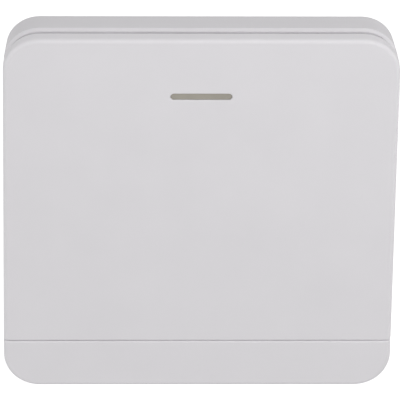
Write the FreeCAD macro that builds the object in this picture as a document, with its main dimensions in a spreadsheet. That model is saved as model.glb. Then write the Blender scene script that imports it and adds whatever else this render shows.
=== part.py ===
# Wireless remote wall switch: a battery-powered radio key in a square wall plate.
# Each piece is drawn lying on its back, with x to the right, y up the wall and z out of
# the wall, and its placement stands it up: wall behind it (+Y), front facing -Y, +Z up.
# The origin is the middle of the back, on the wall.
import FreeCAD, Part
import math
import os
import re
import Sketcher

# Driving dimensions in millimetres, kept in the document's sheet under these aliases
SIZES = {
    # Plate as a whole
    "plate_side": 86.0,
    "corner_radius": 8.0,
    "thickness": 13.5,
    "back_inset": 0.7,
    "back_chamfer": 0.3,
    "rim_inset": 0.1,
    "rim_setback": 5.75,
    "rim_chamfer": 0.65,
    # Front panels: the rocker above the seam and the fixed strip below it
    "strip_height": 11.42,
    "seam_gap": 0.1,
    "seam_round": 0.45,
    "front_round": 0.9,
    "panel_depth": 3.2,
    "panel_lift": 1.0,
    "panel_wall": 1.8,
    "skirt_wall": 1.4,
    "step_inset": 0.8,
    "step_depth": 4.9,
    "rib_width": 1.0,
    "rib_height": 1.2,
    "rib_column_offset": 16.0,
    "rib_row_offset": 15.0,
    "rest_offset": 33.0,
    # Housing
    "side_wall": 1.5,
    "plate_ledge": 0.5,
    "deck_wall": 1.5,
    "skirt_gap": 0.4,
    "groove_low": 3.2,
    "groove_height": 1.8,
    "groove_depth": 0.75,
    "groove_side_gap": 0.4,
    "pry_width": 10.0,
    "pry_height": 1.4,
    # Hinge of the rocker
    "hinge_setback": 3.98,
    "hinge_drop": 1.2,
    "hinge_clearance": 0.05,
    "pin_diameter": 2.0,
    "pin_length": 1.6,
    "ear_offset": 32.0,
    "ear_thickness": 1.6,
    "ear_radius": 1.8,
    "ear_corner": 1.5,
    "ear_side_gap": 0.2,
    "ear_slot_gap": 0.4,
    "ear_flex": 1.8,
    "lug_wall": 0.8,
    "lug_thickness": 1.8,
    # Snap hooks of the front panels
    "hook_setback": 4.8,
    "hook_thickness": 1.3,
    "hook_width": 5.0,
    "hook_catch": 0.8,
    "hook_clearance": 0.05,
    "hook_gap": 0.25,
    "hook_side_gap": 0.3,
    "hook_flex": 0.9,
    "rocker_hook_offset": 17.0,
    "strip_hook_offset": 22.0,
    "barb_height": 0.4,
    "barb_slope": 0.8,
    # Light guide in the rocker
    "slot_drop": 13.7,
    "slot_length": 13.4,
    "slot_width": 1.5,
    "slot_chamfer": 0.12,
    "guide_clearance": 0.08,
    "guide_recess": 0.25,
    "flange_length": 21.0,
    "flange_width": 4.4,
    "flange_thickness": 0.9,
    "stake_offset": 9.0,
    "stake_side": 1.2,
    "stake_clearance": 0.05,
    "stake_head": 0.4,
    "stem_side": 3.0,
    # Wall plate on the back
    "plate_thickness": 1.6,
    "plate_clearance": 0.15,
    "seat_clearance": 0.05,
    "wall_gap": 0.2,
    "locating_wall": 1.0,
    "locating_height": 1.6,
    "arm_offset": 24.0,
    "arm_width": 8.0,
    "arm_thickness": 1.2,
    "arm_catch": 0.6,
    "arm_slit": 1.0,
    "catch_clearance": 0.1,
    "screw_pitch": 60.3,
    "wall_slot_length": 8.0,
    "wall_slot_width": 4.2,
    "slot_rim_wall": 1.6,
    "slot_rim_height": 1.0,
    "pad_length": 50.0,
    "pad_width": 16.0,
    "pad_offset": 20.0,
    "pad_depth": 0.3,
    "mark_width": 6.0,
    "mark_height": 5.0,
    "mark_depth": 0.3,
    # Circuit board and its screws
    "board_side_gap": 15.3,
    "board_top_gap": 6.3,
    "board_low_gap": 3.5,
    "board_thickness": 1.0,
    "board_standoff": 1.0,
    "screw_inset": 3.5,
    "screw_pilot": 1.7,
    "screw_fit": 0.02,
    "screw_bite": 1.9,
    "pilot_depth": 2.1,
    "screw_hole": 2.3,
    "screw_head_diameter": 3.6,
    "screw_head_height": 1.2,
    "recess_length": 2.2,
    "recess_width": 0.5,
    "recess_depth": 0.6,
    "post_side": 4.6,
    # Tact switch under the rocker
    "press_lever": 30.0,
    "press_gap": 0.05,
    "press_boss_side": 4.6,
    "key_side": 6.0,
    "key_height": 3.2,
    "key_floor": 0.9,
    "key_well_side": 4.8,
    "key_window": 7.4,
    "cover_thickness": 0.25,
    "cover_bore": 3.7,
    "cover_tab_width": 2.0,
    "cover_tab_drop": 1.4,
    "plunger_diameter": 3.4,
    "plunger_height": 4.3,
    "plunger_play": 0.03,
    "collar_diameter": 4.2,
    "dome_span": 4.2,
    "dome_top_span": 1.8,
    "dome_leg": 1.4,
    "dome_rise": 0.48,
    "dome_sheet": 0.1,
    "dome_touch": 0.02,
    "terminal_width": 0.7,
    "terminal_sheet": 0.25,
    "terminal_exit": 0.7,
    "terminal_knee": 0.5,
    "terminal_foot": 1.1,
    "terminal_offset": 2.25,
    # Indicator lamp under the light guide
    "lamp_length": 3.5,
    "lamp_width": 2.8,
    "lamp_height": 1.4,
    "lens_margin": 0.3,
    "lens_height": 0.5,
    "lamp_gap": 0.9,
    "lamp_window": 6.5,
    # Coin cell and its holder
    "cell_rise": 15.0,
    "cell_diameter": 20.0,
    "cell_thickness": 3.2,
    "cap_diameter": 17.7,
    "cap_height": 0.3,
    "cell_clearance": 0.15,
    "holder_wall": 1.5,
    "holder_floor": 0.5,
    "holder_depth": 3.6,
    "cell_gap": 0.1,
    "holder_opening": 12.0,
    "contact_sheet": 0.2,
    "contact_width": 4.0,
    "contact_gap": 0.2,
    "contact_touch": 0.03,
    "contact_foot": 2.0,
    "contact_reach": 4.0,
    "leaf_recess": 0.3,
    # Radio parts on the back of the board, in rows at shares of the way from the cell holder
    # to the top edge
    "passive_share": 0.25,
    "radio_share": 0.49,
    "antenna_share": 0.71,
    "chip_length": 4.9,
    "chip_width": 3.9,
    "chip_height": 1.4,
    "chip_standoff": 0.1,
    "chip_offset": 10.0,
    "lead_pitch": 1.27,
    "lead_width": 0.42,
    "lead_sheet": 0.2,
    "lead_exit": 0.75,
    "lead_knee": 0.45,
    "lead_foot": 0.6,
    "crystal_offset": 7.5,
    "crystal_length": 5.0,
    "crystal_width": 3.2,
    "crystal_height": 1.1,
    "crystal_lid_margin": 0.25,
    "crystal_base_height": 0.6,
    "antenna_inset": 7.0,
    "antenna_drop": 2.4,
    "antenna_sheet": 0.3,
    "antenna_width": 1.6,
    "antenna_foot": 2.0,
    "passive_length": 2.0,
    "passive_width": 1.25,
    "passive_height": 0.6,
    "passive_end": 0.4,
    "passive_inset": 6.0,
    "passive_pitch": 3.0,
}
RESISTOR_COUNT = 3
CAPACITOR_COUNT = 4
LEADS_PER_SIDE = 4
SIDES = (("left", "-"), ("right", ""))
ENDS = (("low", "-"), ("high", ""))
TOUCH = 1e-4

# Levels and lines that the pieces share, worked out from the driving dimensions
HALF = "(plate_side / 2)"
SEAM = f"(strip_height - {HALF})"
ROCKER_LOW = f"({SEAM} + seam_gap)"
PANEL_BACK = "(thickness - panel_depth)"
PANEL_INSIDE = "(thickness - panel_wall)"
RIM_FRONT = "(thickness - rim_setback)"
STRAIGHT = "(plate_side - 2 * corner_radius)"
DECK_FRONT = f"({PANEL_BACK} - panel_lift)"
DECK_BACK = f"({DECK_FRONT} - deck_wall)"
BOARD_FRONT = f"({DECK_BACK} - board_standoff)"
BOARD_BACK = f"({BOARD_FRONT} - board_thickness)"
RECESS_INSET = "(back_inset + side_wall)"
CAVITY_INSET = f"({RECESS_INSET} + plate_ledge)"
CAVITY_HALF = f"({HALF} - {CAVITY_INSET})"
DECK_INSET = "(skirt_wall + skirt_gap)"
DECK_EDGE = f"({HALF} - {DECK_INSET})"
SKIRT_INSIDE = f"({HALF} - skirt_wall)"
HINGE_Y = f"({ROCKER_LOW} + hinge_setback)"
HINGE_Z = f"({DECK_BACK} - hinge_drop)"
EAR_OUTSIDE = "(ear_offset + ear_thickness)"
LUG_INSIDE = f"({EAR_OUTSIDE} + ear_side_gap)"
LUG_REACH = "(pin_diameter / 2 + hinge_clearance + lug_wall)"
HOOK_OUTSIDE = f"({HALF} - hook_setback)"
HOOK_INSIDE = f"({HOOK_OUTSIDE} - hook_thickness)"
BARB_TOP = f"({DECK_BACK} - hook_clearance)"
BARB_LOW = f"({BARB_TOP} - barb_height)"
KEY_Y = f"({HINGE_Y} + press_lever)"
KEY_TOP = f"({BOARD_FRONT} + key_height)"
PLUNGER_TOP = f"({BOARD_FRONT} + plunger_height)"
DOME_FLOOR = f"({BOARD_FRONT} + key_floor)"
DOME_TOP = f"({DOME_FLOOR} + dome_rise)"
SLOT_Y = f"({HALF} - slot_drop)"
FLANGE_BACK = f"({PANEL_INSIDE} - flange_thickness)"
LAMP_TOP = f"({BOARD_FRONT} + lamp_height + lens_height)"
BOARD_HALF = f"({CAVITY_HALF} - board_side_gap)"
BOARD_TOP = f"({CAVITY_HALF} - board_top_gap)"
BOARD_LOW = f"({HINGE_Y} + board_low_gap)"
SCREW_X = f"({BOARD_HALF} - screw_inset)"
CELL_Y = f"({BOARD_LOW} + cell_rise)"
CELL_FRONT = f"({BOARD_BACK} - holder_floor - cell_gap)"
CELL_BACK = f"({CELL_FRONT} - cell_thickness)"
HOLDER_INSIDE = "(cell_diameter / 2 + cell_clearance)"
HOLDER_OUTSIDE = f"({HOLDER_INSIDE} + holder_wall)"
HOLDER_BACK = f"({BOARD_BACK} - holder_depth)"
HOLDER_FLOOR = f"({BOARD_BACK} - holder_floor)"
HOLDER_TOP = f"({CELL_Y} + {HOLDER_OUTSIDE})"
RADIO_SPAN = f"({BOARD_TOP} - {HOLDER_TOP})"
PASSIVE_Y = f"({HOLDER_TOP} + passive_share * {RADIO_SPAN})"
RADIO_Y = f"({HOLDER_TOP} + radio_share * {RADIO_SPAN})"
ANTENNA_Y = f"({HOLDER_TOP} + antenna_share * {RADIO_SPAN})"
ANTENNA_X = f"({BOARD_HALF} - antenna_inset)"
ARM_OUTSIDE = f"({CAVITY_HALF} - wall_gap)"
ARM_INSIDE = f"({ARM_OUTSIDE} - arm_thickness)"
CATCH_LOW = "(groove_low + catch_clearance)"
ARM_TOP = f"({CATCH_LOW} + barb_height + barb_slope)"
WALL_SLOT_X = "(screw_pitch / 2)"

STANDING = FreeCAD.Placement(
    FreeCAD.Vector(), FreeCAD.Rotation(FreeCAD.Vector(1, 0, 0), 90))

document = FreeCAD.newDocument("wall_switch")
sheet = document.addObject("Spreadsheet::Sheet", "Sizes")
for row, (alias, size) in enumerate(SIZES.items(), start=1):
    sheet.set(f"A{row}", alias)
    sheet.set(f"B{row}", str(size))
    sheet.setAlias(f"B{row}", alias)
document.recompute()


def expression(text):
    """Write each alias in the text as a reference into the sheet."""
    return re.sub(r"[a-z_]+", lambda word: f"Sizes.{word[0]}" if word[0] in SIZES else word[0], text)


def number(text):
    """Work out the value that an expression has now."""
    return float(sheet.evalExpression(expression(text)))


def bind(item, path, text):
    """Tie one property of an object to an expression of the sheet's sizes."""
    item.setExpression(path, expression(text))


def negative(text):
    return f"(-{text})"


def new_body(label):
    """Start a sub-part, standing up on the wall."""
    body = document.addObject("PartDesign::Body", label)
    body.Label = label
    body.Placement = STANDING
    return body


def distance(axis, geometry, point, text):
    """Hold a sketch's point at a signed distance from the origin, as (constraint, expression)."""
    if text == "0":
        across = -2 if axis == "X" else -1
        return Sketcher.Constraint("PointOnObject", geometry, point, across), None
    return Sketcher.Constraint(f"Distance{axis}", -1, 1, geometry, point, number(text)), text


def hold(sketch, constraints):
    """Add constraints to a sketch and tie each one that has an expression to the sheet."""
    names = {}
    for place, (constraint, text) in enumerate(constraints, start=sketch.ConstraintCount):
        if text is not None:
            constraint.Name = f"size_{place}"
            names[constraint.Name] = text
    sketch.addConstraint([constraint for constraint, _ in constraints])
    for name, text in names.items():
        bind(sketch, f"Constraints.{name}", text)


def corner_arc(before, corner, after, radius):
    """Return the start, middle and end of the arc that rounds a corner of an outline."""
    inward = (before - corner).normalize()
    outward = (after - corner).normalize()
    half_angle = inward.getAngle(outward) / 2
    cut_back = radius / math.tan(half_angle)
    centre = corner + (inward + outward).normalize() * (radius / math.sin(half_angle))
    middle = centre + (corner - centre).normalize() * radius
    return corner + inward * cut_back, middle, corner + outward * cut_back


def draw_outline(sketch, corners):
    """Draw lines through corners, each (x, y) or (x, y, radius), held by the sheet's sizes."""
    count = len(corners)
    points = [FreeCAD.Vector(number(corner[0]), number(corner[1]), 0) for corner in corners]
    arcs = {}
    for place, corner in enumerate(corners):
        if len(corner) == 3:
            arcs[place] = corner_arc(
                points[place - 1], points[place], points[(place + 1) % count], number(corner[2]))
    anchors = [sketch.addGeometry(Part.Point(point), True) for point in points]
    lines = []
    for place in range(count):
        following = (place + 1) % count
        start = arcs[place][-1] if place in arcs else points[place]
        end = arcs[following][0] if following in arcs else points[following]
        lines.append(sketch.addGeometry(Part.LineSegment(start, end), False))
    held = []
    for place, corner in enumerate(corners):
        held.append(distance("X", anchors[place], 1, corner[0]))
        held.append(distance("Y", anchors[place], 1, corner[1]))
        line_before, line_after = lines[place - 1], lines[place]
        if place not in arcs:
            for line, end in ((line_before, 2), (line_after, 1)):
                held.append((Sketcher.Constraint("Coincident", line, end, anchors[place], 1), None))
            continue
        start, middle, end = arcs[place]
        turns_left = (points[place] - start).cross(end - points[place]).z > 0
        first = 1 if turns_left else 2
        way_round = (start, middle, end) if turns_left else (end, middle, start)
        arc = sketch.addGeometry(Part.Arc(*way_round), False)
        held += [
            (Sketcher.Constraint("PointOnObject", anchors[place], 1, line_before), None),
            (Sketcher.Constraint("PointOnObject", anchors[place], 1, line_after), None),
            (Sketcher.Constraint("Tangent", line_before, 2, arc, first), None),
            (Sketcher.Constraint("Tangent", line_after, 1, arc, 3 - first), None),
            (Sketcher.Constraint("Radius", arc, number(corner[2])), corner[2])]
    hold(sketch, held)


def outline(corners):
    """Return a drawer of one closed outline."""
    return lambda sketch: draw_outline(sketch, corners)


def rectangle(width, height, radius=None, x="0", y="0"):
    """Return a drawer of a rectangle about a point, with rounded corners if a radius is given."""
    rounding = (radius,) if radius else ()
    left, right = f"({x} - {width} / 2)", f"({x} + {width} / 2)"
    low, high = f"({y} - {height} / 2)", f"({y} + {height} / 2)"
    return outline([
        (left, low, *rounding), (right, low, *rounding), (right, high, *rounding), (left, high, *rounding)])


def circle(diameter, x="0", y="0"):
    """Return a drawer of a circle about a point."""
    def draw(sketch):
        centre = FreeCAD.Vector(number(x), number(y), 0)
        ring = sketch.addGeometry(Part.Circle(centre, FreeCAD.Vector(0, 0, 1), number(diameter) / 2), False)
        hold(sketch, [
            distance("X", ring, 3, x), distance("Y", ring, 3, y),
            (Sketcher.Constraint("Diameter", ring, number(diameter)), diameter)])
    return draw


def stadium(length, width, x="0", y="0"):
    """Return a drawer of a slot with round ends that runs along x."""
    def draw(sketch):
        reach = number(length) / 2 - number(width) / 2
        radius = number(width) / 2
        centre_x, centre_y = number(x), number(y)

        def at(along, across):
            return FreeCAD.Vector(centre_x + along, centre_y + across, 0)

        low = sketch.addGeometry(Part.LineSegment(at(-reach, -radius), at(reach, -radius)), False)
        right = sketch.addGeometry(
            Part.Arc(at(reach, -radius), at(reach + radius, 0), at(reach, radius)), False)
        high = sketch.addGeometry(Part.LineSegment(at(reach, radius), at(-reach, radius)), False)
        left = sketch.addGeometry(
            Part.Arc(at(-reach, radius), at(-reach - radius, 0), at(-reach, -radius)), False)
        hold(sketch, [
            (Sketcher.Constraint("Tangent", low, 2, right, 1), None),
            (Sketcher.Constraint("Tangent", right, 2, high, 1), None),
            (Sketcher.Constraint("Tangent", high, 2, left, 1), None),
            (Sketcher.Constraint("Tangent", left, 2, low, 1), None),
            (Sketcher.Constraint("Equal", left, right), None),
            distance("X", right, 3, f"({x} + ({length} - {width}) / 2)"),
            distance("X", left, 3, f"({x} - ({length} - {width}) / 2)"),
            distance("Y", right, 3, y),
            distance("Y", left, 3, y),
            (Sketcher.Constraint("Diameter", right, number(width)), width)])
    return draw


def several(*drawers):
    """Return a drawer of several outlines in one sketch."""
    def draw(sketch):
        for drawer in drawers:
            drawer(sketch)
    return draw


def profile(body, name, plane, level, drawer):
    """Add a sketch parallel to one of the body's origin planes, at a level along its normal."""
    sketch = body.newObject("Sketcher::SketchObject", f"{body.Name}_{name}_profile")
    origin_plane = next(item for item in body.Origin.OriginFeatures if item.Role == plane)
    sketch.AttachmentSupport = [(origin_plane, "")]
    sketch.MapMode = "FlatFace"
    bind(sketch, "AttachmentOffset.Base.z", level)
    drawer(sketch)
    return sketch


def add(body, name, drawer, low, high, plane="XY_Plane"):
    """Pad an outline from a low level to a high one (the XZ plane's normal points to -y)."""
    level = negative(high) if plane == "XZ_Plane" else low
    sketch = profile(body, name, plane, level, drawer)
    feature = body.newObject("PartDesign::Pad", f"{body.Name}_{name}")
    feature.Profile = sketch
    bind(feature, "Length", f"({high} - {low})")
    document.recompute()
    return feature


def cut(body, name, drawer, low, high, plane="XY_Plane"):
    """Pocket an outline between two levels."""
    level = negative(low) if plane == "XZ_Plane" else high
    sketch = profile(body, name, plane, level, drawer)
    feature = body.newObject("PartDesign::Pocket", f"{body.Name}_{name}")
    feature.Profile = sketch
    bind(feature, "Length", f"({high} - {low})")
    document.recompute()
    return feature


def turn(body, name, corners, y="0", x="0"):
    """Revolve a profile of (radius, z) corners about the line through (x, y) along z."""
    sketch = profile(body, name, "XZ_Plane", negative(y), outline(corners))
    bind(sketch, "AttachmentOffset.Base.x", x)
    feature = body.newObject("PartDesign::Revolution", f"{body.Name}_{name}")
    feature.Profile = sketch
    feature.ReferenceAxis = (sketch, ["V_Axis"])
    feature.Angle = 360
    document.recompute()
    return feature


def dress_edges(body, kind, measure, size, chosen):
    """Round or bevel the edges of the body's last feature that a test of their bounding box picks."""
    base = body.Tip
    names = [
        f"Edge{place}" for place, edge in enumerate(base.Shape.Edges, start=1) if chosen(edge.BoundBox)]
    feature = body.newObject(f"PartDesign::{kind}", f"{body.Name}_{size}")
    feature.Base = (base, names)
    bind(feature, measure, size)
    document.recompute()


def fillet(body, radius, chosen):
    """Round the chosen edges."""
    dress_edges(body, "Fillet", "Radius", radius, chosen)


def chamfer(body, size, chosen):
    """Bevel the chosen edges."""
    dress_edges(body, "Chamfer", "Size", size, chosen)


def lies_at(low, high, level):
    """Tell whether both ends of an extent lie at a level."""
    return abs(low - level) < TOUCH and abs(high - level) < TOUCH


def at_level(text):
    """Return a test for edges that lie at one level of z."""
    level = number(text)
    return lambda box: lies_at(box.ZMin, box.ZMax, level)


def square_outline(inset):
    """Return a drawer of the plate's outline, moved inwards by an inset."""
    side = f"(plate_side - 2 * {inset})"
    return rectangle(side, side, f"(corner_radius - {inset})")


def panel_blank(body, corners, seam_line):
    """Make the rounded slab of a front panel, whose lip at the seam has a smaller rounding."""
    add(body, "slab", outline(corners), PANEL_BACK, "thickness")
    seam, front, reach = number(seam_line), number("thickness"), number("front_round")
    fillet(body, "seam_round", lambda box: lies_at(box.ZMin, box.ZMax, front)
           and lies_at(box.YMin, box.YMax, seam))
    fillet(body, "front_round", lambda box: lies_at(box.ZMin, box.ZMax, front)
           and max(abs(box.YMin - seam), abs(box.YMax - seam)) > reach)


def skirt_step(body, seam_line, sign):
    """Carry the inner half of a front panel's skirt further back, round the edge of the deck."""
    outer, outer_corner = f"({HALF} - step_inset)", "(corner_radius - step_inset)"
    inner, inner_corner = SKIRT_INSIDE, "(corner_radius - skirt_wall)"
    add(body, "skirt_step", outline([
        (outer, seam_line), (outer, f"({sign}{outer})", outer_corner),
        (negative(outer), f"({sign}{outer})", outer_corner), (negative(outer), seam_line),
        (negative(inner), seam_line), (negative(inner), f"({sign}{inner})", inner_corner),
        (inner, f"({sign}{inner})", inner_corner), (inner, seam_line)]),
        "(thickness - step_depth)", PANEL_BACK)


def hook(body, name, x, sign):
    """Add a snap hook that reaches from a front panel through the deck and catches behind it."""
    inside, outside = f"({sign}{HOOK_INSIDE})", f"({sign}{HOOK_OUTSIDE})"
    catch = f"({sign}({HOOK_OUTSIDE} + hook_catch))"
    tip = f"({BARB_LOW} - barb_slope)"
    corners = [
        (inside, PANEL_INSIDE), (inside, tip), (outside, tip), (catch, BARB_LOW), (catch, BARB_TOP),
        (outside, BARB_TOP), (outside, PANEL_INSIDE)]
    add(body, name, outline(corners), f"({x} - hook_width / 2)", f"({x} + hook_width / 2)", "YZ_Plane")


def hook_slot(x, sign):
    """Return a drawer of the deck's slot for a hook, with room for the hook to bend."""
    inner, outer = f"({HOOK_INSIDE} - hook_flex)", f"({HOOK_OUTSIDE} + hook_gap)"
    return rectangle("(hook_width + 2 * hook_side_gap)", f"({outer} - {inner})",
                     x=x, y=f"({sign}({inner} + {outer}) / 2)")


def gull_lead(body, name, side, y, width, reach, level, up, sizes):
    """Add a bent lead from a component's side down to the board's face at a level."""
    sheet_size, leave, knee, foot = (f"{sizes}_{part}" for part in ("sheet", "exit", "knee", "foot"))

    def point(out, above):
        return (f"({side}({reach} + {out}))", f"({level} {up} {above})")

    bend = f"({knee} + {sheet_size})"
    corners = [
        point("0", leave), point(bend, leave), point(bend, sheet_size),
        point(f"({knee} + {foot})", sheet_size), point(f"({knee} + {foot})", "0"), point(knee, "0"),
        point(knee, f"({leave} - {sheet_size})"), point("0", f"({leave} - {sheet_size})")]
    add(body, name, outline(corners), f"({y} - {width} / 2)", f"({y} + {width} / 2)", "XZ_Plane")


def post_place(x_sign, y_sign):
    """Return the place of the post near one corner of the board."""
    y = f"({BOARD_LOW} + screw_inset)" if y_sign else f"({BOARD_TOP} - screw_inset)"
    return f"({x_sign}{SCREW_X})", y


def screw_places():
    """List the board's two screws, in the posts on one diagonal, as (name, place)."""
    return [(end, post_place(sign, sign)) for end, sign in ENDS]


def draft_walls(body):
    """Lean the housing's walls inwards from the rim to the back."""
    block = body.Tip
    rim_level = number(RIM_FRONT)
    walls, top = [], []
    for place, face in enumerate(block.Shape.Faces, start=1):
        box = face.BoundBox
        if box.ZLength > TOUCH:
            walls.append(f"Face{place}")
        elif lies_at(box.ZMin, box.ZMax, rim_level):
            top.append(f"Face{place}")
    draft = body.newObject("PartDesign::Draft", "housing_draft")
    draft.Base = (block, walls)
    draft.NeutralPlane = (block, top)
    draft.Reversed = True
    bind(draft, "Angle", f"atan((back_inset - rim_inset) / {RIM_FRONT})")
    document.recompute()


def make_housing():
    """Mould the housing: drafted walls, a bevelled rim and a raised deck that carries the rest."""
    body = new_body("housing")
    add(body, "block", square_outline("rim_inset"), "0", RIM_FRONT)
    draft_walls(body)
    chamfer(body, "rim_chamfer", at_level(RIM_FRONT))
    chamfer(body, "back_chamfer", at_level("0"))
    add(body, "deck", square_outline(DECK_INSET), RIM_FRONT, DECK_FRONT)
    cut(body, "plate_recess", square_outline(RECESS_INSET), "0", "(plate_thickness + seat_clearance)")
    cut(body, "cavity", square_outline(CAVITY_INSET), "0", DECK_BACK)
    posts = [post_place(sign, end) for _, sign in SIDES for _, end in ENDS]
    add(body, "posts", several(*(rectangle("post_side", "post_side", x=x, y=y) for x, y in posts)),
        BOARD_FRONT, DECK_BACK)
    cut(body, "pilots", several(*(circle("screw_pilot", *place) for _, place in screw_places())),
        BOARD_FRONT, f"({BOARD_FRONT} + pilot_depth)")
    ear_slot_low, ear_slot_high = "(ear_offset - ear_flex)", LUG_INSIDE
    windows = [
        rectangle("key_window", "key_window", y=KEY_Y),
        rectangle("lamp_window", "lamp_window", y=SLOT_Y)]
    for _, sign in SIDES:
        windows.append(rectangle(
            f"({ear_slot_high} - {ear_slot_low})", "(2 * (ear_radius + ear_slot_gap))",
            x=f"({sign}({ear_slot_low} + {ear_slot_high}) / 2)", y=HINGE_Y))
        windows.append(hook_slot(f"({sign}rocker_hook_offset)", ""))
        windows.append(hook_slot(f"({sign}strip_hook_offset)", "-"))
    cut(body, "windows", several(*windows), DECK_BACK, DECK_FRONT)
    lug_low = f"({HINGE_Z} - {LUG_REACH})"
    lug = rectangle(f"(2 * {LUG_REACH})", f"({DECK_BACK} - {lug_low})", x=HINGE_Y,
                    y=f"(({DECK_BACK} + {lug_low}) / 2)")
    bearing = circle("(pin_diameter + 2 * hinge_clearance)", HINGE_Y, HINGE_Z)
    lug_outside = f"({LUG_INSIDE} + lug_thickness)"
    for side, low, high in (("left", negative(lug_outside), negative(LUG_INSIDE)),
                            ("right", LUG_INSIDE, lug_outside)):
        add(body, f"lug_{side}", lug, low, high, "YZ_Plane")
        cut(body, f"bearing_{side}", bearing, low, high, "YZ_Plane")
    groove_width = "(arm_width + 2 * groove_side_gap)"
    grooves = several(*(
        rectangle(groove_width, "groove_height", x=f"({sign}arm_offset)",
                  y="(groove_low + groove_height / 2)")
        for _, sign in SIDES))
    groove_end = f"({CAVITY_HALF} + groove_depth)"
    cut(body, "grooves_high", grooves, CAVITY_HALF, groove_end, "XZ_Plane")
    cut(body, "grooves_low", grooves, negative(groove_end), negative(CAVITY_HALF), "XZ_Plane")
    cut(body, "pry_notch", rectangle("pry_width", "pry_height", y="(pry_height / 2)"),
        negative(HALF), negative(f"({HALF} - {RECESS_INSET})"), "XZ_Plane")


def make_rocker():
    """Mould the rocker: a ribbed shell with hinge ears, stop hooks and the light guide's slot."""
    body = new_body("rocker")
    corners = [
        (negative(HALF), ROCKER_LOW), (HALF, ROCKER_LOW),
        (HALF, HALF, "corner_radius"), (negative(HALF), HALF, "corner_radius")]
    panel_blank(body, corners, ROCKER_LOW)
    inner, inner_corner = SKIRT_INSIDE, "(corner_radius - skirt_wall)"
    inner_low = f"({ROCKER_LOW} + skirt_wall)"
    cut(body, "hollow", outline([
        (negative(inner), inner_low), (inner, inner_low),
        (inner, inner, inner_corner), (negative(inner), inner, inner_corner)]), PANEL_BACK, PANEL_INSIDE)
    skirt_step(body, ROCKER_LOW, "")
    rib_back = f"({PANEL_INSIDE} - rib_height)"
    columns = [
        rectangle("rib_width", f"({inner} - {inner_low})", x=f"({sign}rib_column_offset)",
                  y=f"(({inner} + {inner_low}) / 2)")
        for _, sign in SIDES]
    rows = [
        rectangle(f"(2 * {inner})", "rib_width", y=f"({KEY_Y} {end or '+'} rib_row_offset)")
        for _, end in ENDS]
    add(body, "rib_columns", several(*columns), rib_back, PANEL_INSIDE)
    add(body, "rib_rows", several(*rows), rib_back, PANEL_INSIDE)
    cut(body, "slot", stadium("slot_length", "slot_width", y=SLOT_Y), PANEL_INSIDE, "thickness")
    front, slot_end = number("thickness"), number("slot_length") / 2
    chamfer(body, "slot_chamfer", lambda box: lies_at(box.ZMin, box.ZMax, front)
            and box.XMax < slot_end + TOUCH and box.XMin > -slot_end - TOUCH)
    stakes = several(*(
        rectangle("stake_side", "stake_side", x=f"({sign}stake_offset)", y=SLOT_Y) for _, sign in SIDES))
    add(body, "stakes", stakes, f"({FLANGE_BACK} - stake_head)", PANEL_INSIDE)
    add(body, "press_boss", rectangle("press_boss_side", "press_boss_side", y=KEY_Y),
        f"({PLUNGER_TOP} + press_gap)", PANEL_INSIDE)
    ear = outline([
        (f"({HINGE_Y} - ear_radius)", PANEL_INSIDE),
        (f"({HINGE_Y} - ear_radius)", f"({HINGE_Z} - ear_radius)", "ear_corner"),
        (f"({HINGE_Y} + ear_radius)", f"({HINGE_Z} - ear_radius)", "ear_corner"),
        (f"({HINGE_Y} + ear_radius)", PANEL_INSIDE)])
    pin = circle("pin_diameter", HINGE_Y, HINGE_Z)
    pin_end = f"({EAR_OUTSIDE} + pin_length)"
    for side, sign in SIDES:
        ear_span = ("ear_offset", EAR_OUTSIDE)
        pin_span = (EAR_OUTSIDE, pin_end)
        if sign:
            ear_span = (negative(EAR_OUTSIDE), negative("ear_offset"))
            pin_span = (negative(pin_end), negative(EAR_OUTSIDE))
        add(body, f"ear_{side}", ear, *ear_span, "YZ_Plane")
        add(body, f"pin_{side}", pin, *pin_span, "YZ_Plane")
        hook(body, f"hook_{side}", f"({sign}rocker_hook_offset)", "")


def make_front_strip():
    """Mould the fixed strip below the seam, with ribs that rest on the deck and snap hooks."""
    body = new_body("front_strip")
    corners = [
        (HALF, SEAM), (negative(HALF), SEAM),
        (negative(HALF), negative(HALF), "corner_radius"), (HALF, negative(HALF), "corner_radius")]
    panel_blank(body, corners, SEAM)
    inner, inner_corner = SKIRT_INSIDE, "(corner_radius - skirt_wall)"
    inner_high = f"({SEAM} - skirt_wall)"
    cut(body, "hollow", outline([
        (inner, inner_high), (negative(inner), inner_high),
        (negative(inner), negative(inner), inner_corner), (inner, negative(inner), inner_corner)]),
        PANEL_BACK, PANEL_INSIDE)
    skirt_step(body, SEAM, "-")
    rest_low = negative(DECK_EDGE)
    rest_length, rest_middle = f"({inner_high} - {rest_low})", f"(({inner_high} + {rest_low}) / 2)"
    rests = several(*(
        rectangle("rib_width", rest_length, x=x, y=rest_middle)
        for x in (negative("rest_offset"), "0", "rest_offset")))
    add(body, "rests", rests, DECK_FRONT, PANEL_INSIDE)
    for side, sign in SIDES:
        hook(body, f"hook_{side}", f"({sign}strip_hook_offset)", "-")


def make_light_guide():
    """Mould the clear light guide: a bar in the rocker's slot, a staked flange and a stem."""
    body = new_body("light_guide")
    add(body, "flange", rectangle("flange_length", "flange_width", y=SLOT_Y), FLANGE_BACK, PANEL_INSIDE)
    add(body, "bar", stadium("(slot_length - 2 * guide_clearance)", "(slot_width - 2 * guide_clearance)",
                             y=SLOT_Y), PANEL_INSIDE, "(thickness - guide_recess)")
    add(body, "stem", rectangle("stem_side", "stem_side", y=SLOT_Y), f"({LAMP_TOP} + lamp_gap)", FLANGE_BACK)
    hole_side = "(stake_side + 2 * stake_clearance)"
    holes = several(*(
        rectangle(hole_side, hole_side, x=f"({sign}stake_offset)", y=SLOT_Y) for _, sign in SIDES))
    cut(body, "stake_holes", holes, FLANGE_BACK, PANEL_INSIDE)


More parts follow.
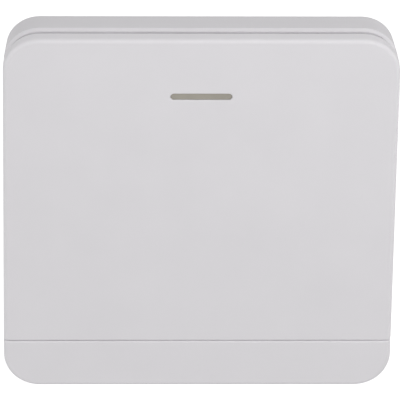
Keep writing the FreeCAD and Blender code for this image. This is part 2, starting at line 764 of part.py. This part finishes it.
def make_back_plate():
    """Mould the wall plate: slotted screw holes, locating ribs, four snap arms, two shallow
    recesses for adhesive pads and a mark that points up."""
    body = new_body("back_plate")
    add(body, "sheet", square_outline(f"({RECESS_INSET} + plate_clearance)"), "0", "plate_thickness")
    rib_line = f"({ARM_OUTSIDE} - locating_wall / 2)"
    beside_arm = "(arm_width / 2 + arm_slit)"
    ribs = [rectangle("locating_wall", STRAIGHT, x=f"({sign}{rib_line})") for _, sign in SIDES]
    for _, end in ENDS:
        ribs.append(rectangle(f"(2 * (arm_offset - {beside_arm}))", "locating_wall", y=f"({end}{rib_line})"))
    add(body, "locating_ribs", several(*ribs), "plate_thickness", "(plate_thickness + locating_height)")
    for end_name, end in ENDS:
        arm = outline([
            (f"({end}{ARM_INSIDE})", "plate_thickness"), (f"({end}{ARM_OUTSIDE})", "plate_thickness"),
            (f"({end}{ARM_OUTSIDE})", CATCH_LOW), (f"({end}({ARM_OUTSIDE} + arm_catch))", CATCH_LOW),
            (f"({end}({ARM_OUTSIDE} + arm_catch))", f"({CATCH_LOW} + barb_height)"),
            (f"({end}{ARM_OUTSIDE})", ARM_TOP), (f"({end}{ARM_INSIDE})", ARM_TOP)])
        for side, sign in SIDES:
            middle = f"({sign}arm_offset)"
            add(body, f"arm_{end_name}_{side}", arm, f"({middle} - arm_width / 2)",
                f"({middle} + arm_width / 2)", "YZ_Plane")
    rim_length = "(wall_slot_length + 2 * slot_rim_wall)"
    rim_width = "(wall_slot_width + 2 * slot_rim_wall)"
    rims = several(*(rectangle(rim_length, rim_width, x=f"({sign}{WALL_SLOT_X})") for _, sign in SIDES))
    rim_top = "(plate_thickness + slot_rim_height)"
    add(body, "slot_rims", rims, "plate_thickness", rim_top)
    slots = several(*(
        stadium("wall_slot_length", "wall_slot_width", x=f"({sign}{WALL_SLOT_X})") for _, sign in SIDES))
    cut(body, "wall_slots", slots, "0", rim_top)
    pads = several(*(rectangle("pad_length", "pad_width", y=f"({end}pad_offset)") for _, end in ENDS))
    cut(body, "pad_recesses", pads, "0", "pad_depth")
    mark_side, mark_top = "(mark_width / 2)", "(mark_height / 2)"
    cut(body, "up_mark", outline([
        ("0", mark_top), (negative(mark_side), negative(mark_top)), (mark_side, negative(mark_top))]),
        "0", "mark_depth")


def make_circuit_board():
    """Cut the circuit board with its two screw holes."""
    body = new_body("circuit_board")
    add(body, "sheet", rectangle(
        f"(2 * {BOARD_HALF})", f"({BOARD_TOP} - {BOARD_LOW})", y=f"(({BOARD_TOP} + {BOARD_LOW}) / 2)"),
        BOARD_BACK, BOARD_FRONT)
    holes = several(*(circle("screw_hole", *place) for _, place in screw_places()))
    cut(body, "holes", holes, BOARD_BACK, BOARD_FRONT)


def make_board_screws():
    """Turn the two board screws, with a cheese head and a cross recess, their thread left plain."""
    shank = "(screw_pilot / 2 - screw_fit)"
    head = "(screw_head_diameter / 2)"
    head_back = f"({BOARD_BACK} - screw_head_height)"
    recess_top = f"({head_back} + recess_depth)"
    tip = f"({BOARD_FRONT} + screw_bite)"
    screws = []
    for name, (x, y) in screw_places():
        screw = document.addObject("PartDesign::Body", f"screw_{name}")
        turn(screw, "blank", [
            ("0", head_back), (head, head_back), (head, BOARD_BACK), (shank, BOARD_BACK), (shank, tip),
            ("0", tip)], y, x)
        cut(screw, "across", rectangle("recess_length", "recess_width", x=x, y=y), head_back, recess_top)
        cut(screw, "upright", rectangle("recess_width", "recess_length", x=x, y=y), head_back, recess_top)
        screws.append(screw)
    group("board_screws", screws)


def make_tact_switch():
    """Build the tact switch: base, cover, plunger, snap dome and four bent terminals."""
    base = new_body("switch_base")
    add(base, "block", rectangle("key_side", "key_side", y=KEY_Y), BOARD_FRONT, KEY_TOP)
    cut(base, "well", rectangle("key_well_side", "key_well_side", y=KEY_Y), DOME_FLOOR, KEY_TOP)

    cover = new_body("switch_cover")
    cover_top = f"({KEY_TOP} + cover_thickness)"
    add(cover, "sheet", rectangle("key_side", "(key_side + 2 * cover_thickness)", y=KEY_Y),
        KEY_TOP, cover_top)
    tabs = several(*(
        rectangle("cover_tab_width", "cover_thickness",
                  y=f"({KEY_Y} {end or '+'} (key_side + cover_thickness) / 2)")
        for _, end in ENDS))
    add(cover, "tabs", tabs, f"({KEY_TOP} - cover_tab_drop)", KEY_TOP)
    cut(cover, "bore", circle("cover_bore", y=KEY_Y), KEY_TOP, cover_top)

    dome = new_body("switch_dome")
    for name, plane, middle in (("across", "XZ_Plane", "0"), ("upright", "YZ_Plane", KEY_Y)):
        along = KEY_Y if plane == "XZ_Plane" else "0"
        add(dome, name, snap_strip(middle), f"({along} - dome_leg / 2)", f"({along} + dome_leg / 2)", plane)

    plunger = new_body("switch_plunger")
    collar, stem = "(collar_diameter / 2)", "(plunger_diameter / 2)"
    collar_low, collar_top = f"({DOME_TOP} + dome_touch)", f"({KEY_TOP} - plunger_play)"
    turn(plunger, "key", [
        ("0", collar_low), (collar, collar_low), (collar, collar_top), (stem, collar_top),
        (stem, PLUNGER_TOP), ("0", PLUNGER_TOP)], KEY_Y)

    terminals = []
    for end_name, end in ENDS:
        for side, sign in SIDES:
            terminal = document.addObject("PartDesign::Body", f"terminal_{end_name}_{side}")
            gull_lead(terminal, "strip", sign, f"({KEY_Y} {end or '+'} terminal_offset)", "terminal_width",
                      "(key_side / 2)", BOARD_FRONT, "+", "terminal")
            terminals.append(terminal)
    group("switch_terminals", terminals)


def snap_strip(middle):
    """Return a drawer of the arched section of the snap dome's crossing strips."""
    def both_sides(out, level):
        return (f"({middle} - {out})", level), (f"({middle} + {out})", level)

    foot, foot_inside = "(dome_span / 2)", "(dome_span / 2 - dome_sheet)"
    top, top_inside = "(dome_top_span / 2)", "(dome_top_span / 2 - dome_sheet / 2)"
    levels = [
        both_sides(top, DOME_TOP), both_sides(foot, DOME_FLOOR), both_sides(foot_inside, DOME_FLOOR),
        both_sides(top_inside, f"({DOME_TOP} - dome_sheet)")]
    return outline([left for left, _ in levels] + [right for _, right in reversed(levels)])


def group(label, members):
    """Gather separate solids of one kind in one sub-part."""
    compound = document.addObject("Part::Compound", label)
    compound.Label = label
    compound.Links = members
    compound.Placement = STANDING
    document.recompute()


def make_status_lamp():
    """Build the surface-mounted indicator lamp with its raised lens."""
    body = new_body("status_lamp")
    lamp_face = f"({BOARD_FRONT} + lamp_height)"
    add(body, "case", rectangle("lamp_length", "lamp_width", y=SLOT_Y), BOARD_FRONT, lamp_face)
    add(body, "lens", rectangle(
        "(lamp_length - 2 * lens_margin)", "(lamp_width - 2 * lens_margin)", y=SLOT_Y), lamp_face, LAMP_TOP)


def make_cell():
    """Build the coin cell, its holder and the two contacts."""
    cell = new_body("coin_cell")
    can, cap = "(cell_diameter / 2)", "(cap_diameter / 2)"
    can_front = f"({CELL_FRONT} - cap_height)"
    turn(cell, "can", [
        ("0", CELL_BACK), (can, CELL_BACK), (can, can_front), (cap, can_front), (cap, CELL_FRONT),
        ("0", CELL_FRONT)], CELL_Y)

    holder = new_body("cell_holder")
    slot_width = "(contact_width + 2 * contact_gap)"
    holder_side = f"(2 * {HOLDER_OUTSIDE})"
    add(holder, "block", rectangle(holder_side, holder_side, y=CELL_Y), HOLDER_BACK, BOARD_BACK)
    cut(holder, "hollow", circle(f"(2 * {HOLDER_INSIDE})", y=CELL_Y), HOLDER_BACK, HOLDER_FLOOR)
    cut(holder, "opening", rectangle(
        "holder_opening", HOLDER_OUTSIDE, y=f"({CELL_Y} - {HOLDER_OUTSIDE} / 2)"), HOLDER_BACK, HOLDER_FLOOR)
    slot_inside = f"({can} - contact_gap)"
    cut(holder, "side_slot", rectangle(
        f"({HOLDER_OUTSIDE} - {slot_inside})", slot_width,
        x=f"(({HOLDER_OUTSIDE} + {slot_inside}) / 2)", y=CELL_Y), HOLDER_BACK, BOARD_BACK)
    leaf_length = f"({HOLDER_OUTSIDE} + contact_reach)"
    cut(holder, "leaf_recess", rectangle(
        leaf_length, slot_width, x=f"((contact_reach - {HOLDER_OUTSIDE}) / 2)", y=CELL_Y),
        f"({CELL_FRONT} - contact_gap)", f"({HOLDER_FLOOR} + leaf_recess)")

    low, high = f"({CELL_Y} - contact_width / 2)", f"({CELL_Y} + contact_width / 2)"
    negative_contact = new_body("cell_contact_negative")
    leaf_front = f"({CELL_FRONT} + contact_sheet)"
    bend = negative(f"({HOLDER_OUTSIDE} + contact_gap)")
    foot_end = f"({bend} - contact_foot)"
    foot_back = f"({BOARD_BACK} - contact_sheet)"
    leaf_end = "(contact_reach - contact_gap)"
    add(negative_contact, "leaf", outline([
        (leaf_end, CELL_FRONT), (leaf_end, leaf_front), (bend, leaf_front), (bend, BOARD_BACK),
        (foot_end, BOARD_BACK), (foot_end, foot_back), (f"({bend} - contact_sheet)", foot_back),
        (f"({bend} - contact_sheet)", CELL_FRONT)]), low, high, "XZ_Plane")

    positive_contact = new_body("cell_contact_positive")
    spring = f"({can} + contact_touch)"
    spring_outside = f"({spring} + contact_sheet)"
    spring_foot = f"({HOLDER_OUTSIDE} + contact_foot)"
    spring_low = f"({HOLDER_BACK} + contact_gap)"
    add(positive_contact, "spring", outline([
        (spring, spring_low), (spring_outside, spring_low), (spring_outside, foot_back),
        (spring_foot, foot_back), (spring_foot, BOARD_BACK), (spring, BOARD_BACK)]), low, high, "XZ_Plane")


def make_radio():
    """Build the radio parts on the back of the board: chip, crystal, antenna and passives."""
    chip = new_body("radio_chip")
    chip_x = negative("chip_offset")
    add(chip, "case", rectangle("chip_width", "chip_length", x=chip_x, y=RADIO_Y),
        f"({BOARD_BACK} - chip_height)", f"({BOARD_BACK} - chip_standoff)")
    leads = []
    for line in range(LEADS_PER_SIDE):
        lead_y = f"({RADIO_Y} + ({line} - {(LEADS_PER_SIDE - 1) / 2}) * lead_pitch)"
        for side, sign in SIDES:
            lead = document.addObject("PartDesign::Body", f"lead_{side}_{line}")
            gull_lead(lead, "strip", sign, lead_y, "lead_width", "(chip_width / 2)", BOARD_BACK, "-", "lead")
            bind(lead, "Placement.Base.x", chip_x)
            leads.append(lead)
    group("radio_chip_leads", leads)

    crystal = new_body("crystal")
    base_back = f"({BOARD_BACK} - crystal_base_height)"
    add(crystal, "base", rectangle("crystal_length", "crystal_width", x="crystal_offset", y=RADIO_Y),
        base_back, BOARD_BACK)
    add(crystal, "lid", rectangle("(crystal_length - 2 * crystal_lid_margin)",
                                  "(crystal_width - 2 * crystal_lid_margin)", x="crystal_offset", y=RADIO_Y),
        f"({BOARD_BACK} - crystal_height)", base_back)

    antenna = new_body("antenna_loop")
    run_back, run_front = f"({BOARD_BACK} - antenna_drop)", f"({BOARD_BACK} - antenna_drop + antenna_sheet)"
    leg, foot_back = f"({ANTENNA_X} - antenna_sheet)", f"({BOARD_BACK} - antenna_sheet)"
    foot_end = f"({ANTENNA_X} + antenna_foot)"
    half = [
        (ANTENNA_X, run_back), (ANTENNA_X, foot_back), (foot_end, foot_back), (foot_end, BOARD_BACK),
        (leg, BOARD_BACK), (leg, run_front)]
    mirrored = [(negative(x), z) for x, z in reversed(half)]
    add(antenna, "strip", outline(half + mirrored), f"({ANTENNA_Y} - antenna_width / 2)",
        f"({ANTENNA_Y} + antenna_width / 2)", "XZ_Plane")

    make_passives()


def make_passives():
    """Build the chip resistors and capacitors as bodies between metal ends."""
    ends = []
    body_length = "(passive_length - 2 * passive_end)"
    for label, count, sign in (
            ("chip_resistors", RESISTOR_COUNT, "-"), ("chip_capacitors", CAPACITOR_COUNT, "")):
        bodies = []
        for place in range(count):
            x = f"({sign}({BOARD_HALF} - passive_inset - {place} * passive_pitch))"
            bodies.append(passive_block(f"{label}_{place}", x, PASSIVE_Y, body_length))
            for end_name, end in ENDS:
                end_y = f"({PASSIVE_Y} {end or '+'} (passive_length - passive_end) / 2)"
                ends.append(passive_block(f"{label}_{place}_{end_name}", x, end_y, "passive_end"))
        group(label, bodies)
    group("chip_ends", ends)


def passive_block(name, x, y, length):
    """Make one block of a chip component on the back of the board."""
    block = document.addObject("Part::Box", name)
    bind(block, "Length", "passive_width")
    bind(block, "Width", length)
    bind(block, "Height", "passive_height")
    bind(block, "Placement.Base.x", f"({x} - passive_width / 2)")
    bind(block, "Placement.Base.y", f"({y} - {length} / 2)")
    bind(block, "Placement.Base.z", f"({BOARD_BACK} - passive_height)")
    return block


def check_document():
    """Stop if an object failed, a pocket cut nothing or a sketch is loose."""
    document.recompute()
    for item in document.Objects:
        if "Invalid" in item.State or "Error" in item.State:
            raise RuntimeError(f"{item.Label} failed: {item.State}")
        if item.TypeId == "PartDesign::Pocket" and item.Shape.Volume > item.BaseFeature.Shape.Volume - TOUCH:
            raise RuntimeError(f"{item.Label} cuts nothing")
        if item.TypeId == "Sketcher::SketchObject" and not item.FullyConstrained:
            raise RuntimeError(f"{item.Label} is not fully constrained")


def write_parts():
    """Write each sub-part that stands on the wall to a file named after it."""
    os.makedirs("parts", exist_ok=True)
    for item in document.Objects:
        standing = getattr(item, "Placement", None) == STANDING
        if item.TypeId not in ("PartDesign::Body", "Part::Compound") or not standing:
            continue
        if item.Shape.isNull() or not item.Shape.isValid():
            raise RuntimeError(f"{item.Label} has no valid shape")
        item.Shape.exportStep(f"parts/{item.Label}.step")


make_housing()
make_rocker()
make_front_strip()
make_light_guide()
make_back_plate()
make_circuit_board()
make_board_screws()
make_tact_switch()
make_status_lamp()
make_cell()
make_radio()
check_document()
write_parts()
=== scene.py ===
"""Looks of the wireless remote wall switch: finishes, light, floor and the photograph's camera."""

from itertools import pairwise, product
from math import cos, radians, sin

import bmesh
import bpy
from mathutils import Matrix, Vector


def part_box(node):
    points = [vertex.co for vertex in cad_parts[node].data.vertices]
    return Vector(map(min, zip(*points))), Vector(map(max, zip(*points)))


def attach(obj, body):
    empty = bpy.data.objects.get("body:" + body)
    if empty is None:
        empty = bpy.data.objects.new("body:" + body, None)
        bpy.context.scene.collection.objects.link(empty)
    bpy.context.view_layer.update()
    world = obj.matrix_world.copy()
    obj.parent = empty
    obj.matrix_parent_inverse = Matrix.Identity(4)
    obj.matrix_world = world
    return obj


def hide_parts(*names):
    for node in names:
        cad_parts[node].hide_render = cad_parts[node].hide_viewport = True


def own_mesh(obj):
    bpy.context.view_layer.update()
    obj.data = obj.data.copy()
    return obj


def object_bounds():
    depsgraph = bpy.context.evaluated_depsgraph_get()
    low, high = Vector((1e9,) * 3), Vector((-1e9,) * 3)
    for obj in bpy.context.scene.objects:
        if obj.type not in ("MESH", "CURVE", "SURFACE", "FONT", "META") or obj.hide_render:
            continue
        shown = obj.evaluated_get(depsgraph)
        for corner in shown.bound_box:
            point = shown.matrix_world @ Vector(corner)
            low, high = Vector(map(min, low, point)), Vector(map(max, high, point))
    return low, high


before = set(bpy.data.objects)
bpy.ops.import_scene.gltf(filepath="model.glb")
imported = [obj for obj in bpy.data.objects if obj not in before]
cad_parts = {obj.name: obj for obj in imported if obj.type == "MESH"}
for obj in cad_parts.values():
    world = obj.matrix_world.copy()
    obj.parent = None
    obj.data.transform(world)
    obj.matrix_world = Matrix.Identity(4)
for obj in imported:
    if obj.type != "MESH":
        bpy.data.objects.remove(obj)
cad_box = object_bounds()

MM = 0.001


# Shader helpers, which take lengths in millimetres

# A noise lies mostly between these two values
NOISE_LOW = 0.3
NOISE_HIGH = 0.7
NOISE_DETAIL = 3
EDGE_SAMPLES = 6
UNSTRETCHED = (1, 1, 1)


def new_material(name, roughness=0.5, metallic=0.0):
    """A material whose principled shader is ready to be wired up."""
    material = bpy.data.materials.new(name)
    material.use_nodes = True
    shader = material.node_tree.nodes["Principled BSDF"]
    shader.inputs["Roughness"].default_value = roughness
    shader.inputs["Metallic"].default_value = metallic
    return material, shader


def object_point(tree, stretch=UNSTRETCHED):
    """The point on the piece in metres, times a factor along each axis."""
    coordinate = tree.nodes.new("ShaderNodeTexCoord")
    mapping = tree.nodes.new("ShaderNodeMapping")
    mapping.inputs["Scale"].default_value = stretch
    tree.links.new(coordinate.outputs["Object"], mapping.inputs["Vector"])
    return mapping.outputs["Vector"]


def noise(tree, grain, detail=NOISE_DETAIL, stretch=UNSTRETCHED):
    """Soft noise whose grains are about the given length."""
    texture = tree.nodes.new("ShaderNodeTexNoise")
    texture.inputs["Scale"].default_value = 1 / (grain * MM)
    texture.inputs["Detail"].default_value = detail
    tree.links.new(object_point(tree, stretch), texture.inputs["Vector"])
    return texture.outputs["Fac"]


def ramp(tree, value, *stops):
    """Colour from a value, by stops of (position, colour)."""
    node = tree.nodes.new("ShaderNodeValToRGB")
    elements = node.color_ramp.elements
    while len(elements) < len(stops):
        elements.new(position=0.5)
    for element, (position, colour) in zip(elements, stops):
        element.position = position
        element.color = (*colour, 1)
    tree.links.new(value, node.inputs["Fac"])
    return node.outputs["Color"]


def colour_drift(tree, shader, value, darker, lighter):
    """Base colour that follows a noise from one colour to another."""
    tint = ramp(tree, value, (NOISE_LOW, darker), (NOISE_HIGH, lighter))
    tree.links.new(tint, shader.inputs["Base Color"])


def roughness_drift(tree, shader, value, middle, drift):
    """Roughness that follows a noise, up and down from a middle value."""
    node = tree.nodes.new("ShaderNodeMapRange")
    node.inputs["From Min"].default_value = NOISE_LOW
    node.inputs["From Max"].default_value = NOISE_HIGH
    node.inputs["To Min"].default_value = middle - drift
    node.inputs["To Max"].default_value = middle + drift
    tree.links.new(value, node.inputs["Value"])
    tree.links.new(node.outputs["Result"], shader.inputs["Roughness"])


def bump(tree, shader, height, depth, edge=None):
    """Relief of the given depth, with edges eased by a small radius where one is given."""
    node = tree.nodes.new("ShaderNodeBump")
    node.inputs["Strength"].default_value = 1.0
    node.inputs["Distance"].default_value = depth * MM
    tree.links.new(height, node.inputs["Height"])
    if edge:
        eased = tree.nodes.new("ShaderNodeBevel")
        eased.samples = EDGE_SAMPLES
        eased.inputs["Radius"].default_value = edge * MM
        tree.links.new(eased.outputs["Normal"], node.inputs["Normal"])
    tree.links.new(node.outputs["Normal"], shader.inputs["Normal"])


def shade(colour, factor):
    """A colour made darker or lighter by a factor."""
    return tuple(channel * factor for channel in colour)


def grey(tone):
    """A colour with three equal channels."""
    return (tone, tone, tone)


# Finishes

PLASTIC_CLOUD = 14
PLASTIC_DRIFT = 0.05

METAL_PATCH = 2.5
METAL_DULLEST = 0.88
METAL_LINE = 0.12
METAL_DETAIL = 4
METAL_DRIFT = 0.08

TRACK_LENGTH = 7.5
TRACK_PITCH = 1.9
TRACK_HALF_WIDTH = 0.22
TRACK_HEIGHT = 0.03
TRACK_STAGGER = 0.37
TRACK_SOFTNESS = 0.4
TRACK_GREEN = (0.03, 0.17, 0.07)
MASK_GREEN = (0.012, 0.085, 0.035)
MASK_MOTTLE = 1.2


def moulded(name, colour, rough, grain, depth, edge, variation=0.012):
    """Moulded plastic or pressed ceramic: faint clouds in the colour and a fine spark-eroded grain."""
    material, shader = new_material(name)
    tree = material.node_tree
    cloud = noise(tree, PLASTIC_CLOUD)
    colour_drift(tree, shader, cloud, shade(colour, 1 - variation), shade(colour, 1 + variation))
    fine = noise(tree, grain)
    roughness_drift(tree, shader, fine, rough, PLASTIC_DRIFT)
    bump(tree, shader, fine, depth, edge)
    return material


def smoked_diffuser(name, colour, rough, cloud, grain, depth, variation):
    """The smoky light guide: warm grey, faintly cloudy and polished."""
    material, shader = new_material(name)
    tree = material.node_tree
    haze = noise(tree, cloud)
    colour_drift(tree, shader, haze, shade(colour, 1 - variation), shade(colour, 1 + variation))
    fine = noise(tree, grain, detail=2)
    roughness_drift(tree, shader, fine, rough, PLASTIC_DRIFT)
    bump(tree, shader, fine, depth)
    return material


def metal(name, colour, rough, stretch, depth):
    """Rolled or plated metal: fine lines along the rolling direction and a patchy tone."""
    material, shader = new_material(name, metallic=1.0)
    tree = material.node_tree
    patch = noise(tree, METAL_PATCH, METAL_DETAIL)
    colour_drift(tree, shader, patch, shade(colour, METAL_DULLEST), colour)
    lines = noise(tree, METAL_LINE, METAL_DETAIL, stretch)
    roughness_drift(tree, shader, lines, rough, METAL_DRIFT)
    bump(tree, shader, lines, depth)
    return material


def solder_mask(name, rough, drift):
    """Green mask over copper tracks, which show as lighter, slightly raised lines."""
    material, shader = new_material(name)
    tree = material.node_tree
    tracks = tree.nodes.new("ShaderNodeTexBrick")
    tracks.offset = TRACK_STAGGER
    tracks.inputs["Scale"].default_value = 1.0
    tracks.inputs["Brick Width"].default_value = TRACK_LENGTH * MM
    tracks.inputs["Row Height"].default_value = TRACK_PITCH * MM
    tracks.inputs["Mortar Size"].default_value = TRACK_HALF_WIDTH * MM
    tracks.inputs["Mortar Smooth"].default_value = TRACK_SOFTNESS
    turn = tree.nodes.new("ShaderNodeMapping")
    turn.inputs["Rotation"].default_value = (radians(90), 0, 0)
    tree.links.new(object_point(tree), turn.inputs["Vector"])
    tree.links.new(turn.outputs["Vector"], tracks.inputs["Vector"])
    tint = ramp(tree, tracks.outputs["Fac"], (0.0, MASK_GREEN), (1.0, TRACK_GREEN))
    tree.links.new(tint, shader.inputs["Base Color"])
    roughness_drift(tree, shader, noise(tree, MASK_MOTTLE), rough, drift)
    bump(tree, shader, tracks.outputs["Fac"], TRACK_HEIGHT)
    return material


WHITE = (0.805, 0.788, 0.813)
# The housing and the back plate take the front's white, made a little darker by a factor
BASE_WHITE = shade(WHITE, 0.938)
BLACK = (0.022, 0.022, 0.024)
RESIN = (0.78, 0.72, 0.48)
CERAMIC = (0.42, 0.29, 0.17)
SMOKED = (0.38, 0.355, 0.305)
STEEL = (0.72, 0.71, 0.69)
TIN = (0.80, 0.79, 0.76)
COPPER = (0.86, 0.50, 0.33)
ROLLED_ALONG_X = (0.08, 1, 1)
ROLLED_ALONG_Z = (1, 1, 0.1)

front_white = moulded("front_white", WHITE, rough=0.46, grain=0.22, depth=0.006, edge=0.12)
base_white = moulded("base_white", BASE_WHITE, rough=0.52, grain=0.3, depth=0.008, edge=0.12)
black = moulded("black_plastic", BLACK, rough=0.5, grain=0.15, depth=0.008, edge=0.05, variation=0.2)
resin = moulded("lamp_resin", RESIN, rough=0.3, grain=0.4, depth=0.004, edge=0.05, variation=0.05)
ceramic = moulded("ceramic", CERAMIC, rough=0.55, grain=0.12, depth=0.006, edge=0.03, variation=0.1)
smoked = smoked_diffuser(
    "smoked_light_guide", SMOKED, rough=0.33, cloud=3.5, grain=0.3, depth=0.002, variation=0.05)
mask = solder_mask("solder_mask", rough=0.30, drift=0.06)
steel = metal("steel", STEEL, rough=0.3, stretch=ROLLED_ALONG_X, depth=0.002)
tin = metal("tin", TIN, rough=0.36, stretch=ROLLED_ALONG_Z, depth=0.003)
copper = metal("copper", COPPER, rough=0.34, stretch=ROLLED_ALONG_X, depth=0.003)

FINISHES = {
    front_white: ("rocker", "front_strip"),
    base_white: ("housing", "back_plate"),
    smoked: ("light_guide",),
    mask: ("circuit_board",),
    steel: ("board_screws", "switch_cover", "switch_dome", "coin_cell", "crystal"),
    tin: (
        "switch_terminals", "cell_contact_negative", "cell_contact_positive",
        "radio_chip_leads", "chip_ends"),
    black: ("switch_base", "switch_plunger", "cell_holder", "radio_chip", "chip_resistors"),
    resin: ("status_lamp",),
    copper: ("antenna_loop",),
    ceramic: ("chip_capacitors",),
}
for finish, names in FINISHES.items():
    for name in names:
        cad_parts[name].material_slots[0].material = finish


# Snap dome of the push switch under the rocker, built in its arched rest shape

DOME_LEG = 1.4 * MM
DOME_LEG_STEPS = 5
DOME_SHEET = 0.1 * MM
SHARP_EDGE = radians(40)


def snap_dome(name, lowest, highest):
    """A spring sheet cut to a cross and arched off its four feet, filling the box between two corners."""
    middle = (lowest + highest) / 2
    reach = highest.x - middle.x
    arch = highest.y - lowest.y - DOME_SHEET
    half_leg = DOME_LEG / 2
    outward = [half_leg / 2, half_leg]
    for step in range(1, DOME_LEG_STEPS + 1):
        outward.append(half_leg + (reach - half_leg) * step / DOME_LEG_STEPS)
    lines = [-place for place in reversed(outward)] + [0.0] + outward
    shell = bmesh.new()
    corners = {}
    for x, z in product(lines, lines):
        if min(abs(x), abs(z)) <= half_leg:
            rise = arch * max(0.0, 1 - (x * x + z * z) / reach ** 2)
            point = (middle.x + x, highest.y - DOME_SHEET - rise, middle.z + z)
            corners[x, z] = shell.verts.new(point)
    for (left, right), (below, above) in product(pairwise(lines), pairwise(lines)):
        cell = [(left, below), (right, below), (right, above), (left, above)]
        if all(corner in corners for corner in cell):
            shell.faces.new([corners[corner] for corner in cell])
    sheet = bmesh.ops.extrude_face_region(shell, geom=shell.faces[:])["geom"]
    underside = [item for item in sheet if isinstance(item, bmesh.types.BMVert)]
    bmesh.ops.translate(shell, verts=underside, vec=(0, DOME_SHEET, 0))
    bmesh.ops.recalc_face_normals(shell, faces=shell.faces)
    mesh = bpy.data.meshes.new(name)
    shell.to_mesh(mesh)
    shell.free()
    mesh.shade_smooth()
    mesh.set_sharp_from_angle(angle=SHARP_EDGE)
    piece = bpy.data.objects.new(name, mesh)
    bpy.context.collection.objects.link(piece)
    return piece


dome_low, dome_high = (Vector(corner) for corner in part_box("switch_dome"))
dome = snap_dome("snap_dome", dome_low, dome_high)
dome.data.materials.append(steel)
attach(dome, "housing")
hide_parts("switch_dome")
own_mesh(dome)


# Floor, a glowing white ground that neither shades nor lights the plate

FLOOR_REACH = 4.0
FLOOR_ROUGHNESS = 0.9
FLOOR_PATCH = 90
FLOOR_DARKER = grey(0.86)
FLOOR_LIGHTER = grey(0.9)
FLOOR_GLOW = 0.65

low, high = (Vector(corner) for corner in cad_box)
floor_signs = ((-1, -1), (1, -1), (1, 1), (-1, 1))
floor_corners = [(x * FLOOR_REACH, y * FLOOR_REACH, low.z) for x, y in floor_signs]
floor_mesh = bpy.data.meshes.new("floor")
floor_mesh.from_pydata(floor_corners, [], [(0, 1, 2, 3)])
floor = bpy.data.objects.new("floor", floor_mesh)
bpy.context.collection.objects.link(floor)
floor_white, floor_shader = new_material("floor_white", roughness=FLOOR_ROUGHNESS)
floor_tree = floor_white.node_tree
colour_drift(floor_tree, floor_shader, noise(floor_tree, FLOOR_PATCH), FLOOR_DARKER, FLOOR_LIGHTER)
floor_shader.inputs["Emission Color"].default_value = (1, 1, 1, 1)
floor_shader.inputs["Emission Strength"].default_value = FLOOR_GLOW
floor_mesh.materials.append(floor_white)
floor.visible_diffuse = False
floor.visible_glossy = False
floor.visible_shadow = False


# Light

# Tones of the sky by height, from 0 straight below to 1 straight above
SKY = ((0.0, 0.62), (0.28, 0.74), (0.45, 0.40), (0.55, 0.63), (1.0, 0.42))

world = bpy.data.worlds.new("studio")
world.use_nodes = True
bpy.context.scene.world = world
sky = world.node_tree
direction = sky.nodes.new("ShaderNodeTexCoord")
split = sky.nodes.new("ShaderNodeSeparateXYZ")
sky_height = sky.nodes.new("ShaderNodeMapRange")
sky_height.inputs["From Min"].default_value = -1
sky.links.new(direction.outputs["Generated"], split.inputs["Vector"])
sky.links.new(split.outputs["Z"], sky_height.inputs["Value"])
sky_stops = [(height, grey(tone)) for height, tone in SKY]
background = sky.nodes["Background"]
sky.links.new(ramp(sky, sky_height.outputs["Result"], *sky_stops), background.inputs["Color"])
background.inputs["Strength"].default_value = 1.0


def area_light(name, azimuth, elevation, power, distance=1.5, size=1.0):
    """A square lamp aimed at the middle of the plate; azimuth 0 is in front and 90 to the right."""
    lamp = bpy.data.lights.new(name, "AREA")
    lamp.size = size
    lamp.energy = power
    lamp_object = bpy.data.objects.new(name, lamp)
    bpy.context.collection.objects.link(lamp_object)
    turn = radians(azimuth)
    rise = radians(elevation)
    toward = Vector((sin(turn) * cos(rise), -cos(turn) * cos(rise), sin(rise)))
    aim = toward.to_track_quat("Z", "Y").to_matrix().to_4x4()
    lamp_object.matrix_world = Matrix.Translation((low + high) / 2 + toward * distance) @ aim


area_light("key", azimuth=30, elevation=48, power=0.160, distance=0.28, size=0.20)
area_light("overhead", azimuth=0, elevation=45, power=3.04)
area_light("left_fill", azimuth=-75, elevation=10, power=3.65)
area_light("right_fill", azimuth=75, elevation=10, power=2.89)
area_light("rear_bounce", azimuth=180, elevation=-25, power=2.5)


# Camera, fitted to the plate's outline in the photograph

PITCH = radians(28.19)
YAW = radians(-1.90)
ROLL = radians(0.92)
DISTANCE = 1.136
AIM_RIGHT = 0.09 * MM
AIM_UP = 3.117 * MM
OUTLINE_PLANE = -12.6 * MM
FOCAL_PIXELS = 5178
IMAGE_SIDE = 400
SENSOR_WIDTH = 36

camera_data = bpy.data.cameras.new("camera")
camera_data.sensor_width = SENSOR_WIDTH
camera_data.lens = FOCAL_PIXELS / IMAGE_SIDE * SENSOR_WIDTH
camera = bpy.data.objects.new("camera", camera_data)
bpy.context.collection.objects.link(camera)
bpy.context.scene.camera = camera
back = Vector((sin(YAW) * cos(PITCH), -cos(YAW) * cos(PITCH), sin(PITCH)))
level = Vector((cos(YAW), sin(YAW), 0))
upright = back.cross(level)
right = level * cos(ROLL) + upright * sin(ROLL)
up = upright * cos(ROLL) - level * sin(ROLL)
eye = level * AIM_RIGHT + upright * AIM_UP + back * DISTANCE + Vector((0, OUTLINE_PLANE, 0))
camera.matrix_world = Matrix.Translation(eye) @ Matrix((right, up, back)).transposed().to_4x4()

bpy.context.scene.view_settings.view_transform = "Standard"
